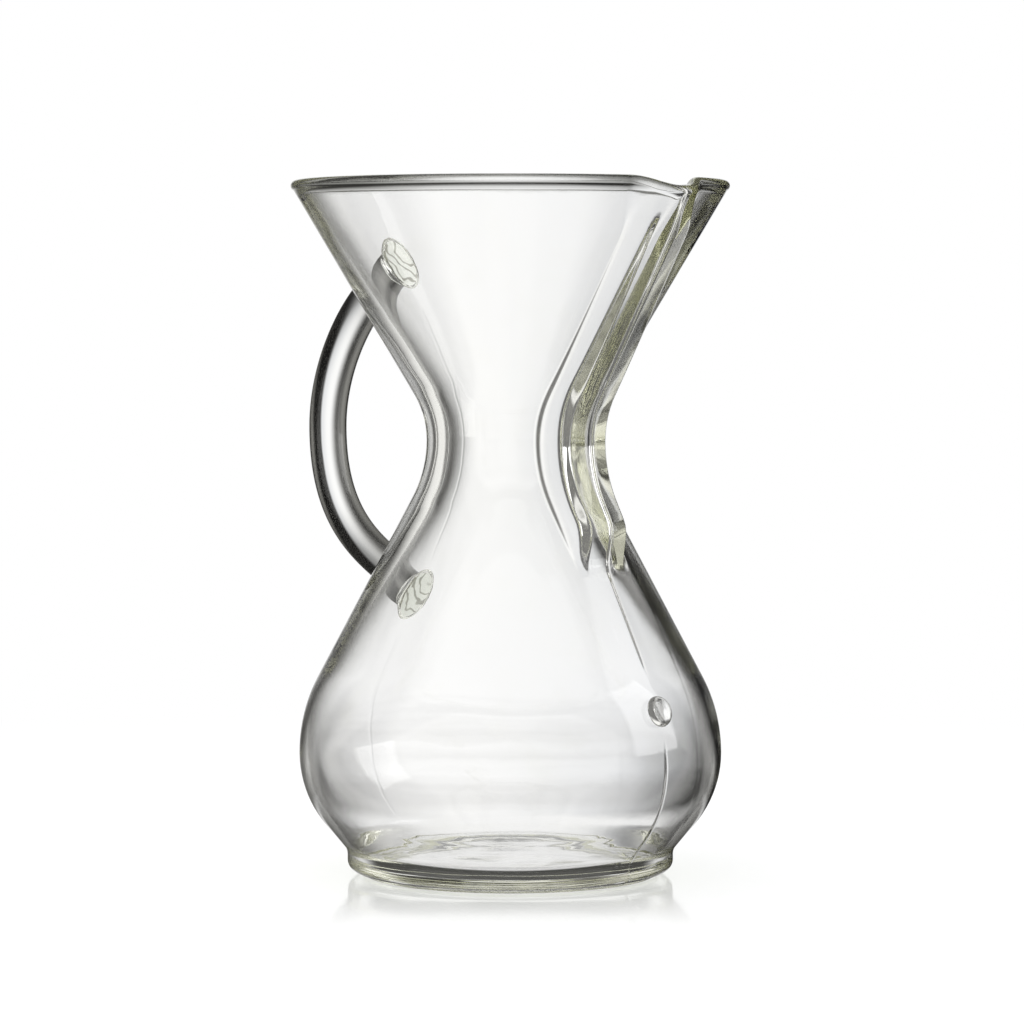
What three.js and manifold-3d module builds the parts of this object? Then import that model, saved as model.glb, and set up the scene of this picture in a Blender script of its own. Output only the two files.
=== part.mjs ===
// Glass pour-over coffee maker: an hourglass vessel with a pressed pouring channel, a bent rod handle
// fused to its wall at two pads, and a level button on the bulb.
// Millimetres, +Z up. The origin is on the vessel's axis, at the flat foot that it stands on.
// The pouring channel is on +X, the handle on -X, and both lie in the plane of the mould's seams.
import * as THREE from 'three';
import { mergeVertices } from 'three/addons/utils/BufferGeometryUtils.js';
import Module from 'manifold-3d';

const wasm = await Module();
wasm.setup();

// Heights along the axis
const BULB_HEIGHT = 38; // widest part of the bulb above the foot
const NECK_ABOVE_BULB = 97.5;
const RIM_ABOVE_NECK = 80.5;

// Outer radii, and the radii of the bends between them
const RIM_RADIUS = 68.2;
const NECK_RADIUS = 26.1;
const BULB_RADIUS = 65.9;
const HEEL_RADIUS = 50.9;
const FOOT_RADIUS = 46;
const NECK_UPPER_BEND = 27.8;
const NECK_LOWER_BEND = 38;
const BULB_UPPER_BEND = 51.5;
const BULB_LOWER_BEND = 34;
const HEEL_ROUND = 3.4;
const HEEL_HEIGHT = 7.9; // where the bulb's wall meets the heel's upright face
const HEEL_RUN_SHARE = 0.02; // least share of that room which the straight run into the heel keeps
const FOOT_STEP = 1.1; // how far the foot stands below the heel

// Glass thickness
const CONE_WALL = 2.7;
const NECK_WALL = 6.2;
const BULB_WALL = 2.3;
const FLOOR_THICKNESS = 4;
const FLOOR_CORNER = 3; // rounding between the inner wall and the floor
const RIM_SWELL = 0.6; // how much thicker the fire-polished edge is than the cone

// Pouring channel, a trough pushed out of the wall from the rim to the bulb's shoulder
const CHANNEL_DEPTH = 8.5;
const CHANNEL_CREST = 15.2; // width of its flat outer crest
const CHANNEL_FLANK = 3.8; // width of each rounded flank beside the crest
const CHANNEL_FADE = 17; // height over which its lower end runs out into the shoulder
const CHANNEL_END_BELOW_NECK = 40.5;
const LIP_REACH = 5.5; // how far the lip stands out at the rim
const LIP_DROP = 3; // how far the lip dips below the rim
const LIP_CREST = 4; // width of the lip's flat middle
const LIP_FLANK = 15; // width of the soft bend on each side of it
const LIP_HEIGHT = 18; // height over which the channel turns into the lip

// Handle, a solid rod bent in the seam plane
const ROD_DIAMETER = 12.2;
const FINGER_ROOM = 51.3; // clear space between the neck and the rod
const GRIP_ABOVE_NECK = 2.5; // height of the rod's furthest point
const UPPER_SEAT_BELOW_RIM = 28.5;
const LOWER_SEAT_BELOW_NECK = 46.6;
const UPPER_SEAT_PULL = 15; // how far the rod runs square to the wall before it bends
const LOWER_SEAT_PULL = 17;
const UPPER_GRIP_PULL = 20; // how far it runs upright at the grip
const LOWER_GRIP_PULL = 30;

// Fused pads at the rod's two ends, and the level button
const PAD_WIDTH = 14; // across the seam plane
const PAD_LENGTH = 18.5; // along the wall's slope
const PAD_HEIGHT = 5;
const BUTTON_DIAMETER = 9.6;
const BUTTON_HEIGHT = 2.4;
const BUTTON_ABOVE_BULB = 17;
const SEAT_GAP = 0.3; // clearance between a fused piece and the wall, and between rod and pad

// Facets
const FACETS_AROUND = 64;
const FACETS_BESIDE_CHANNEL = 11; // on each side of the seam plane, across the channel
const FACETS_PER_BEND = 5;
const FACETS_ROUND_HEEL = 4;
const CONE_ROWS = 7;
const SHOULDER_ROWS = 9;
const FACETS_ROUND_ROD = 16;
const ROD_STEPS = 36;
const FACETS_ROUND_PAD = 24;
const FLARE_ROWS = 6;
const MERGE_DISTANCE = 1e-4; // corners closer than this are one

// Finishes, as the three kinds of glass
const GLASS_ROUGHNESS = 0.03;
const CLEAR_GLASS = { color: 0xe9eeea, opacity: 0.3 };
const ROD_GLASS = { color: 0xdfe4df, opacity: 0.45 };
const FUSED_GLASS = { color: 0xdcdfd6, opacity: 0.5 };

// Places that follow from the sizes
const NECK_Z = BULB_HEIGHT + NECK_ABOVE_BULB;
const RIM_Z = NECK_Z + RIM_ABOVE_NECK;
const BEAD_RADIUS = (CONE_WALL + RIM_SWELL) / 2;
const CHANNEL_HALF = Math.max(CHANNEL_CREST / 2 + CHANNEL_FLANK, LIP_CREST / 2 + LIP_FLANK);
const CHANNEL_TURN = (2 * Math.PI * FACETS_BESIDE_CHANNEL) / FACETS_AROUND;
const ROD_RADIUS = ROD_DIAMETER / 2;
const GRIP_X = NECK_RADIUS + FINGER_ROOM + ROD_RADIUS;
const GRIP_Z = NECK_Z + GRIP_ABOVE_NECK;

// A point of a circle in the (radius, height) half plane
function onCircle(centre, radius, angle) {
  return new THREE.Vector2(centre.x + radius * Math.cos(angle), centre.y + radius * Math.sin(angle));
}

// Points along an arc, both ends included
function arc(centre, radius, from, to, facets = FACETS_PER_BEND) {
  const points = [];
  for (let i = 0; i <= facets; i++) {
    points.push(onCircle(centre, radius, from + ((to - from) * i) / facets));
  }
  return points;
}

// Points that split the straight run between two points, both ends left out
function between(a, b, rows) {
  const points = [];
  for (let i = 1; i < rows; i++) {
    points.push(a.clone().lerp(b, i / rows));
  }
  return points;
}

// One face of the vessel's wall from the bulb's widest ring to the rim, as sizes that its runs follow.
// cone, neck and bulb are how deep the face lies below the outer face at those three places.
function wallFace(cone, neck, bulb) {
  const bulbRadius = BULB_UPPER_BEND - bulb;
  const lowerRadius = NECK_LOWER_BEND + neck;
  const upperRadius = NECK_UPPER_BEND + neck;
  const bulbCentre = new THREE.Vector2(BULB_RADIUS - BULB_UPPER_BEND, BULB_HEIGHT);
  const lowerCentre = new THREE.Vector2(NECK_RADIUS + NECK_LOWER_BEND, NECK_Z);
  const upperCentre = new THREE.Vector2(NECK_RADIUS + NECK_UPPER_BEND, NECK_Z);
  const bead = new THREE.Vector2(RIM_RADIUS - BEAD_RADIUS, RIM_Z - BEAD_RADIUS);
  // The shoulder is the straight run that touches the bulb's bend and the neck's lower bend
  const rise = lowerCentre.clone().sub(bulbCentre);
  const shoulder = rise.angle() - Math.acos((bulbRadius + lowerRadius) / rise.length());
  // The cone is the straight run from the neck's upper bend to the rim's bead
  const reach = bead.clone().sub(upperCentre);
  const beside = CONE_WALL / 2 - cone;
  const beadRadius = BEAD_RADIUS + Math.max(0, -cone);
  const slope = Math.acos(-(upperRadius + beside) / reach.length()) - reach.angle();
  const bends = { bulbRadius, lowerRadius, upperRadius, bulbCentre, lowerCentre, upperCentre };
  return { ...bends, bead, beadRadius, beside, shoulder, slope };
}

// The face's points from just above the bulb's widest ring up to where the cone meets the bead
function wallPoints(face) {
  const { shoulder, slope, bead, beadRadius, beside } = face;
  const bulb = arc(face.bulbCentre, face.bulbRadius, 0, shoulder).slice(1);
  const lower = arc(face.lowerCentre, face.lowerRadius, shoulder + Math.PI, Math.PI);
  const upper = arc(face.upperCentre, face.upperRadius, Math.PI, Math.PI - slope).slice(1);
  const outward = new THREE.Vector2(Math.cos(slope), -Math.sin(slope));
  const upward = new THREE.Vector2(Math.sin(slope), Math.cos(slope));
  const sink = Math.sqrt(beadRadius ** 2 - beside ** 2);
  const top = bead.clone().addScaledVector(outward, beside).addScaledVector(upward, -sink);
  const shoulderRun = between(bulb[bulb.length - 1], lower[0], SHOULDER_ROWS);
  const coneRun = between(upper[upper.length - 1], top, CONE_ROWS);
  return [...bulb, ...shoulderRun, ...lower, ...upper, ...coneRun, top];
}

// The bulb's lower bend, and the turn at which it goes over into the straight run down to the heel.
// The bend rounds the wall between the widest ring and the heel, so it is no larger than fits there.
function lowerBend() {
  const inward = BULB_RADIUS - HEEL_RADIUS;
  const down = BULB_HEIGHT - HEEL_HEIGHT;
  const room = (inward ** 2 + down ** 2) / (2 * inward);
  const bend = Math.min(BULB_LOWER_BEND, room * (1 - HEEL_RUN_SHARE));
  const centre = new THREE.Vector2(BULB_RADIUS - bend, BULB_HEIGHT);
  const heel = new THREE.Vector2(HEEL_RADIUS, HEEL_HEIGHT).sub(centre);
  const turn = Math.atan2(heel.y, heel.x) + Math.acos(bend / heel.length());
  return { bend, centre, turn };
}

// The outer face from the heel up to the bulb's widest ring. lift moves it out of the glass.
function lowerBulb(lift) {
  const { bend, centre, turn } = lowerBend();
  const heel = new THREE.Vector2(HEEL_RADIUS + lift, HEEL_HEIGHT);
  return [heel, ...arc(centre, bend + lift, turn, 0)];
}

// The outer face from the foot's middle to the rim, lifted off the glass by lift
function outerFace(lift) {
  const round = new THREE.Vector2(HEEL_RADIUS - HEEL_ROUND, FOOT_STEP + HEEL_ROUND);
  return [
    new THREE.Vector2(0, -lift),
    new THREE.Vector2(FOOT_RADIUS + lift, -lift),
    new THREE.Vector2(FOOT_RADIUS + lift, FOOT_STEP - lift),
    ...arc(round, HEEL_ROUND + lift, -Math.PI / 2, 0, FACETS_ROUND_HEEL),
    ...lowerBulb(lift),
    ...wallPoints(wallFace(-lift, -lift, -lift)),
  ];
}

// The inner face from the rim down to the middle of the floor
function innerFace() {
  const wall = wallPoints(wallFace(CONE_WALL, NECK_WALL, BULB_WALL)).reverse();
  const { bend, centre, turn } = lowerBend();
  const radius = bend - BULB_WALL;
  // The floor's corner touches the straight run into the heel and the floor
  const corner = new THREE.Vector2(0, FLOOR_THICKNESS + FLOOR_CORNER);
  const drop = (corner.y - centre.y) * Math.sin(turn);
  corner.x = centre.x + (radius - FLOOR_CORNER - drop) / Math.cos(turn);
  const floor = arc(corner, FLOOR_CORNER, turn, -Math.PI / 2, FACETS_ROUND_HEEL);
  return [...wall, ...arc(centre, radius, 0, turn), ...floor, new THREE.Vector2(0, FLOOR_THICKNESS)];
}

// The rim's round bead between the last outer and the first inner point, ends left out
function rimBead(from, to) {
  const { bead } = wallFace(0, 0, 0);
  const start = from.clone().sub(bead).angle() - 2 * Math.PI;
  const end = to.clone().sub(bead).angle();
  return arc(bead, BEAD_RADIUS, start, end).slice(1, -1);
}

// Where a facet's edge stands round the axis. Edges beside the channel keep their distance from the seam
// plane at every height, so that they run along its flanks, and the rest share what is left of the turn.
function edgeAngle(even, radius) {
  const share = Math.abs(even) / CHANNEL_TURN;
  const side = Math.asin(CHANNEL_HALF / Math.max(radius, NECK_RADIUS - NECK_WALL));
  if (share <= 1) return Math.sign(even) * Math.asin(share * Math.sin(side));
  const rest = (Math.abs(even) - CHANNEL_TURN) / (Math.PI - CHANNEL_TURN);
  return Math.sign(even) * THREE.MathUtils.lerp(side, Math.PI, rest);
}

// A solid of revolution about Z
function turned(profile) {
  const geometry = new THREE.LatheGeometry(profile, FACETS_AROUND);
  geometry.rotateX(Math.PI / 2);
  const position = geometry.attributes.position;
  for (let i = 0; i < position.count; i++) {
    const radius = Math.hypot(position.getX(i), position.getY(i));
    const angle = edgeAngle(Math.atan2(position.getY(i), position.getX(i)), radius);
    position.setX(i, radius * Math.cos(angle));
    position.setY(i, radius * Math.sin(angle));
  }
  return geometry;
}

// The trough's cross section: 1 on the crest, easing to 0 at the foot of each flank.
// inset narrows it, so that the wall keeps its thickness in the flanks, and lip goes from 0 in the channel
// to 1 at the rim.
function troughAt(y, inset, lip) {
  const crest = THREE.MathUtils.lerp(CHANNEL_CREST, LIP_CREST, lip) / 2 - inset;
  const flank = THREE.MathUtils.lerp(CHANNEL_FLANK, LIP_FLANK, lip);
  return 1 - THREE.MathUtils.smoothstep(Math.abs(y), crest, crest + flank);
}

// Pushes the pouring channel out of the wall and dips its lip at the rim.
// depthShare says for each point of the profile how far it lies through the wall, from 0 outside to 1 inside.
function pressChannel(geometry, depthShare) {
  const position = geometry.attributes.position;
  const end = NECK_Z - CHANNEL_END_BELOW_NECK;
  for (let i = 0; i < position.count; i++) {
    const z = position.getZ(i);
    if (position.getX(i) <= 0) continue;
    const inset = CONE_WALL * depthShare[i % depthShare.length];
    const fade = THREE.MathUtils.smoothstep(z, end, end + CHANNEL_FADE);
    const lip = THREE.MathUtils.smoothstep(z, RIM_Z - LIP_HEIGHT, RIM_Z);
    const trough = troughAt(position.getY(i), inset, lip);
    const depth = THREE.MathUtils.lerp(CHANNEL_DEPTH, LIP_REACH, lip);
    position.setX(i, position.getX(i) + depth * fade * trough);
    position.setZ(i, z - LIP_DROP * lip * trough);
  }
}

// The blown vessel: cone, neck, bulb, heel and foot in one wall
function vesselGeometry() {
  const outer = outerFace(0);
  const inner = innerFace();
  const bead = rimBead(outer[outer.length - 1], inner[0]);
  const depthShare = [
    ...outer.map(() => 0),
    ...bead.map((point, i) => (i + 1) / (bead.length + 1)),
    ...inner.map(() => 1),
  ];
  const geometry = turned([...outer, ...bead, ...inner]);
  pressChannel(geometry, depthShare);
  return geometry;
}

// Where a height meets the outer wall: the point and the wall's outward direction in the half plane
function wallAt(z) {
  const wall = [...lowerBulb(0), ...wallPoints(wallFace(0, 0, 0))];
  const above = wall.findIndex((point) => point.y > z);
  const low = wall[above - 1];
  const high = wall[above];
  const along = high.clone().sub(low);
  const point = low.clone().addScaledVector(along, (z - low.y) / along.y);
  return { point, outward: new THREE.Vector2(along.y, -along.x).normalize() };
}

// A frame that stands on the outer wall in the seam plane, with its Z out of the wall and its X level.
// side is +1 on the channel's side and -1 on the handle's.
function wallSeat(z, side) {
  const { point, outward } = wallAt(z);
  const level = new THREE.Vector3(0, side, 0);
  const out = new THREE.Vector3(side * outward.x, 0, outward.y);
  const along = new THREE.Vector3().crossVectors(out, level);
  const place = new THREE.Vector3(side * point.x, 0, point.y);
  return { place, out, matrix: new THREE.Matrix4().makeBasis(level, along, out).setPosition(place) };
}

// Closed geometry to a solid that can be cut
function toSolid(geometry) {
  const bare = geometry.clone();
  bare.deleteAttribute('normal');
  bare.deleteAttribute('uv');
  const merged = mergeVertices(bare, MERGE_DISTANCE);
  const corners = merged.index.array;
  const triangles = [];
  for (let i = 0; i < corners.length; i += 3) {
    const [a, b, c] = corners.slice(i, i + 3);
    if (a !== b && b !== c && c !== a) triangles.push(a, b, c);
  }
  const mesh = new wasm.Mesh({
    numProp: 3,
    vertProperties: new Float32Array(merged.attributes.position.array),
    triVerts: new Uint32Array(triangles),
  });
  return new wasm.Manifold(mesh);
}

// A cut solid back to geometry
function toGeometry(solid) {
  const mesh = solid.getMesh();
  const geometry = new THREE.BufferGeometry();
  geometry.setAttribute('position', new THREE.BufferAttribute(mesh.vertProperties, 3));
  geometry.setIndex(new THREE.BufferAttribute(mesh.triVerts, 1));
  geometry.computeVertexNormals();
  return geometry;
}

// A piece whose foot is shaped to the outer wall, a clearance away from it
function seatedOnWall(geometry) {
  const wall = toSolid(turned([...outerFace(SEAT_GAP), new THREE.Vector2(0, RIM_Z)]));
  return toGeometry(toSolid(geometry).subtract(wall));
}

// A round solid about a seat's Z, from its closed profile
function turnedOnSeat(profile) {
  const geometry = new THREE.LatheGeometry(profile, FACETS_ROUND_PAD);
  geometry.rotateX(Math.PI / 2);
  return geometry;
}

// A fused pad: the rod's round section flares into an oval foot on the wall
function padGeometry(seat) {
  const rootDepth = NECK_WALL;
  const flare = new THREE.CubicBezierCurve(
    new THREE.Vector2(PAD_WIDTH / 2, 0),
    new THREE.Vector2(PAD_WIDTH / 2, PAD_HEIGHT / 2),
    new THREE.Vector2(ROD_RADIUS, PAD_HEIGHT / 2),
    new THREE.Vector2(ROD_RADIUS, PAD_HEIGHT),
  );
  const foot = [new THREE.Vector2(0, -rootDepth), new THREE.Vector2(PAD_WIDTH / 2, -rootDepth)];
  const geometry = turnedOnSeat([...foot, ...flare.getPoints(FLARE_ROWS), new THREE.Vector2(0, PAD_HEIGHT)]);
  const position = geometry.attributes.position;
  for (let i = 0; i < position.count; i++) {
    const share = 1 - THREE.MathUtils.smoothstep(position.getZ(i), 0, PAD_HEIGHT);
    const stretch = THREE.MathUtils.lerp(1, PAD_LENGTH / PAD_WIDTH, share);
    position.setY(i, position.getY(i) * stretch);
  }
  geometry.applyMatrix4(seat.matrix);
  return seatedOnWall(geometry);
}

// The level button: a shallow dome on the bulb under the channel
function buttonGeometry(seat) {
  const radius = BUTTON_DIAMETER / 2;
  const dome = [new THREE.Vector2(0, -NECK_WALL), new THREE.Vector2(radius, -NECK_WALL)];
  for (let i = 0; i <= FACETS_PER_BEND; i++) {
    const turn = ((Math.PI / 2) * i) / FACETS_PER_BEND;
    dome.push(new THREE.Vector2(radius * Math.cos(turn), BUTTON_HEIGHT * Math.sin(turn)));
  }
  dome[dome.length - 1].x = 0;
  const geometry = turnedOnSeat(dome);
  geometry.applyMatrix4(seat.matrix);
  return seatedOnWall(geometry);
}

// Half of the handle's centre line, from where it meets its pad to the grip
function rodHalf(seat, seatPull, gripPull) {
  const grip = new THREE.Vector3(-GRIP_X, 0, GRIP_Z);
  const start = seat.place.clone().addScaledVector(seat.out, PAD_HEIGHT + SEAT_GAP);
  const away = start.clone().addScaledVector(seat.out, seatPull);
  const upright = grip.clone().setZ(GRIP_Z + gripPull);
  return [start, away, upright, grip];
}

// The bent rod between the two pads
function rodGeometry(upperSeat, lowerSeat) {
  const upper = rodHalf(upperSeat, UPPER_SEAT_PULL, UPPER_GRIP_PULL);
  const lower = rodHalf(lowerSeat, LOWER_SEAT_PULL, -LOWER_GRIP_PULL).reverse();
  const path = new THREE.CurvePath();
  path.add(new THREE.CubicBezierCurve3(...upper));
  path.add(new THREE.CubicBezierCurve3(...lower));
  const section = new THREE.Shape();
  for (let i = 0; i < FACETS_ROUND_ROD; i++) {
    const turn = (2 * Math.PI * i) / FACETS_ROUND_ROD;
    const corner = onCircle(new THREE.Vector2(), ROD_RADIUS, turn);
    if (i === 0) section.moveTo(corner.x, corner.y);
    else section.lineTo(corner.x, corner.y);
  }
  section.closePath();
  return new THREE.ExtrudeGeometry(section, { steps: ROD_STEPS, extrudePath: path });
}

// A named piece with a glass material of its own
function piece(name, geometry, finish) {
  const glass = { ...finish, roughness: GLASS_ROUGHNESS, metalness: 0, transparent: true };
  const mesh = new THREE.Mesh(geometry, new THREE.MeshStandardMaterial(glass));
  mesh.name = name;
  return mesh;
}

const upperSeat = wallSeat(RIM_Z - UPPER_SEAT_BELOW_RIM, -1);
const lowerSeat = wallSeat(NECK_Z - LOWER_SEAT_BELOW_NECK, -1);
const buttonSeat = wallSeat(BULB_HEIGHT + BUTTON_ABOVE_BULB, 1);

const coffeeMaker = new THREE.Group();
coffeeMaker.name = 'pour_over_coffee_maker';
coffeeMaker.add(piece('vessel', vesselGeometry(), CLEAR_GLASS));
coffeeMaker.add(piece('handle', rodGeometry(upperSeat, lowerSeat), ROD_GLASS));
coffeeMaker.add(piece('upper_handle_weld', padGeometry(upperSeat), FUSED_GLASS));
coffeeMaker.add(piece('lower_handle_weld', padGeometry(lowerSeat), FUSED_GLASS));
coffeeMaker.add(piece('level_button', buttonGeometry(buttonSeat), FUSED_GLASS));

export default coffeeMaker;
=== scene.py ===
"""Glass pour-over coffee maker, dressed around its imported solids.

An hourglass vessel with a pressed pouring channel, a bent rod handle melted onto its wall at two pads, and a
level button. Metres, +Z up: the axis of the vessel is Z, the channel is on +X and the handle on -X.
"""
from math import acos, asin, atan2, ceil, copysign, cos, degrees, hypot, pi, radians, sin, sqrt

import bmesh
import bpy
from bpy.props import FloatProperty, FloatVectorProperty, PointerProperty
from bpy.types import Operator, Panel, PropertyGroup
from mathutils import Matrix, Vector, noise
from mathutils.geometry import interpolate_bezier


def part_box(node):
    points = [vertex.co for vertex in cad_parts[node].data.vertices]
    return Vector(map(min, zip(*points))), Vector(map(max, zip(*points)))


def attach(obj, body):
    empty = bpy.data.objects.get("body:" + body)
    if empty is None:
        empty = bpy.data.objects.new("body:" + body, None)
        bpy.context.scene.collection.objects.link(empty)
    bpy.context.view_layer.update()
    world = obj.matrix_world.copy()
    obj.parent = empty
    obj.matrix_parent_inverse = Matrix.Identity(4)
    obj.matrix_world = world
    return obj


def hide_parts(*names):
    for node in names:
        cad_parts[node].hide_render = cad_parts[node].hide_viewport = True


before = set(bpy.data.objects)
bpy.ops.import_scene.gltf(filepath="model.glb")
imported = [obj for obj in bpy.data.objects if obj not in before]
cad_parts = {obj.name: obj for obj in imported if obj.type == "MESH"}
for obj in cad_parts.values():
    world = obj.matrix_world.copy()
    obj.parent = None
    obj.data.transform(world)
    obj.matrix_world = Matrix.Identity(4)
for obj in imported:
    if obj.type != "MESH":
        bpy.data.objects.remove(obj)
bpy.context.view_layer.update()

bl_info = {
    "name": "Glass pour-over coffee maker",
    "version": (1, 0, 0),
    "blender": (4, 5, 0),
    "location": "View3D > Sidebar > Coffee maker",
    "description": "Makes the glass pieces of a pour-over coffee maker and a plain studio to see them in",
    "category": "Object",
}

MM = 0.001
RIM_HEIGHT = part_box("vessel")[1].z
GRIP_REACH = -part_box("handle")[0].x

GRAIN = 2.2 * MM  # longest step along the wall's outline
COLUMNS = 272  # steps of the wall round the axis
CHANNEL_COLUMNS = 56  # of these, on each side of the seam plane, that run along the channel
SEAM_COLUMNS = 10  # and that run along the seam behind
SEAM_BAND = 6 * MM  # half width of the strip that the latter share
COLUMN_CROWDING = 1.3  # above 1, columns stand closer to the seam plane
CREASE = 0.2  # share of the channel's flank that each of its two creases takes
ROD_SIDES = 48
ROD_STEPS = 60
FUSED_SIDES = 64
FUSED_GRAIN = 0.45 * MM
TOUCHING = 0.03 * MM  # space between two pieces that are melted together
PAINTED_SKIN_REACH = 0.86  # share of a pad's face that has a chill skin of painted pale light
PAINTED_SKIN_SHARE = 0.9  # how much of the clear glass that painted pale skin hides
PAINTED_EDGE_FACING = (0.52, 0.9)  # how far glass turns from the eye between clear and a full painted dark outline, which is painted shade
RIM_PAINTED_FACING = (0.0, 0.14)  # and the same for the painted dark lines at the rim
ROD_PAINTED_FACING = (0.05, 0.25)  # and the same for the painted shade in the handle
LEVEL_FACE = (0.6, 0.9)  # squared upward share of the faces without a painted dark edge
# Where the channel's glass, with its painted cream light, ends beside the seam plane, squared, and starts from
# the axis and the foot
CHANNEL_SIDE = ((13 * MM) ** 2, (17 * MM) ** 2)
CHANNEL_FRONT = (18 * MM, 26 * MM)
CHANNEL_START = (92 * MM, 102 * MM)
RIM_PAINTED_LINES = (5 * MM, 3 * MM)  # how far below the top the rim's painted dark lines start and are full
SMEAR_SCALE = 70  # smears in a metre
SMEAR_EDGE = (0.5, 0.8)
SMEAR_ROUGHNESS = 0.012
GLASS_IOR = 1.473
TINT_DENSITY = 5  # how fast thick glass takes on its colour, per metre
# The folds below are painted shade in the pads' painted light skin
FOLD_SCALE = 95  # closeness of the folds in the pads' skin
FOLD_SWERVE = 7  # how far the folds leave their rings
FOLD_EDGE = (0.02, 0.3)
FOLD_MIDDLE = Vector((0, 6, 7)) * MM  # middle of the rings, beside that of the pad
BACK_SEAM = 0.35  # height of the seam behind as a share of the one under the channel
SHARP = radians(40)


def length(name, millimetres, description):
    """A size that shows in millimetres in the sidebar."""
    return FloatProperty(
        name=name, description=description, default=millimetres * MM, unit="LENGTH", precision=4)


def colour(name, value, description):
    """A linear colour."""
    return FloatVectorProperty(
        name=name, description=description, default=value, subtype="COLOR", min=0, max=1)


class WallSizes(PropertyGroup):
    """The blown wall: cone, neck, bulb, heel and foot"""
    rim_height: FloatProperty(
        name="Rim height", description="Top of the rim", default=RIM_HEIGHT, unit="LENGTH")
    neck_height: length("Neck height", 135.5, "Narrowest ring")
    bulb_height: length("Bulb height", 38, "Widest ring of the bulb")
    rim_radius: length("Rim radius", 68.2, "Outside of the rim's bead")
    neck_radius: length("Neck radius", 26.1, "Outside of the neck")
    bulb_radius: length("Bulb radius", 65.9, "Outside of the bulb")
    heel_radius: length("Heel radius", 50.9, "Upright face of the heel")
    heel_height: length("Heel height", 7.9, "Where the bulb's wall meets the heel's upright face")
    foot_radius: length("Foot radius", 46, "Outside of the foot ring")
    foot_width: length("Foot width", 5, "Width of the ring that the vessel stands on")
    foot_step: length("Foot step", 1.1, "How far the foot ring stands below the heel")
    foot_dish: length("Foot dish", 1.2, "How far the middle of the underside is raised")
    neck_upper_bend: length("Neck upper bend", 27.8, "Outer bend from the neck to the cone")
    neck_lower_bend: length("Neck lower bend", 38, "Outer bend from the neck to the shoulder")
    bulb_upper_bend: length("Bulb upper bend", 51.5, "Outer bend from the shoulder to the widest ring")
    bulb_lower_bend: length("Bulb lower bend", 34, "Outer bend from the widest ring to the heel")
    heel_round: length("Heel round", 3.4, "Rounding of the heel")
    cone_wall: length("Cone wall", 2.7, "Glass thickness of the cone")
    neck_wall: length("Neck wall", 6.2, "Glass thickness of the neck")
    bulb_wall: length("Bulb wall", 2.3, "Glass thickness of the bulb")
    floor_wall: length("Floor thickness", 4, "Glass thickness of the floor")
    floor_corner: length("Floor corner", 3, "Rounding between the inner wall and the floor")
    floor_ripple: length("Floor ripple", 0.16, "Unevenness of the floor")
    rim_swell: length("Rim swell", 0.6, "How much thicker the fire-polished edge is than the cone")
    ripple: length("Ripple", 0.16, "Unevenness of the inner face")
    seam_height: length("Seam height", 0.2, "How far the mould seams stand out")
    seam_width: length("Seam width", 1.7, "Width of the mould seams")


class ChannelSizes(PropertyGroup):
    """The pouring channel, pushed out of the wall from the rim to the shoulder"""
    depth: length("Depth", 8.5, "How far the crest stands out of the wall")
    crest: length("Crest", 15.2, "Width of the flat outer crest")
    flank: length("Flank", 3.8, "Width of each rounded flank")
    end_height: length("End height", 95, "Where the channel runs out into the shoulder")
    fade: length("Fade", 17, "Height over which it runs out")
    lip_height: length("Lip height", 18, "Height over which the channel turns into the lip")
    lip_reach: length("Lip reach", 5.5, "How far the lip stands out at the rim")
    lip_drop: length("Lip drop", 3, "How far the lip dips below the rim")
    lip_crest: length("Lip crest", 4, "Width of the lip's flat middle")
    lip_flank: length("Lip flank", 15, "Width of the soft bend on each side of it")


class FusedSizes(PropertyGroup):
    """The rod handle, its two melted pads and the level button"""
    rod_diameter: length("Rod diameter", 12.2, "Thickness of the handle")
    grip_height: length("Grip height", 138, "Height of the rod's furthest point")
    upper_seat: length("Upper seat", 187.5, "Height of the upper pad on the cone")
    lower_seat: length("Lower seat", 88.9, "Height of the lower pad on the shoulder")
    upper_pull: length("Upper pull", 15, "How far the rod runs square to the cone")
    lower_pull: length("Lower pull", 17, "How far the rod runs square to the shoulder")
    upper_grip_pull: length("Upper grip pull", 20, "How far the rod runs upright above the grip")
    lower_grip_pull: length("Lower grip pull", 30, "How far the rod runs upright below the grip")
    pad_width: length("Pad width", 14, "Pad across the seam plane")
    pad_length: length("Pad length", 18.5, "Pad along the wall's slope")
    pad_height: length("Pad height", 5, "How far the pad reaches up the rod")
    wrinkle: length("Wrinkle", 0.28, "Depth of the chill wrinkles in the pads' melted faces")
    button_seat: length("Button seat", 55, "Height of the level button")
    button_diameter: length("Button diameter", 9.6, "Width of the level button")
    button_height: length("Button height", 2.4, "How far the button stands out")


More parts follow.
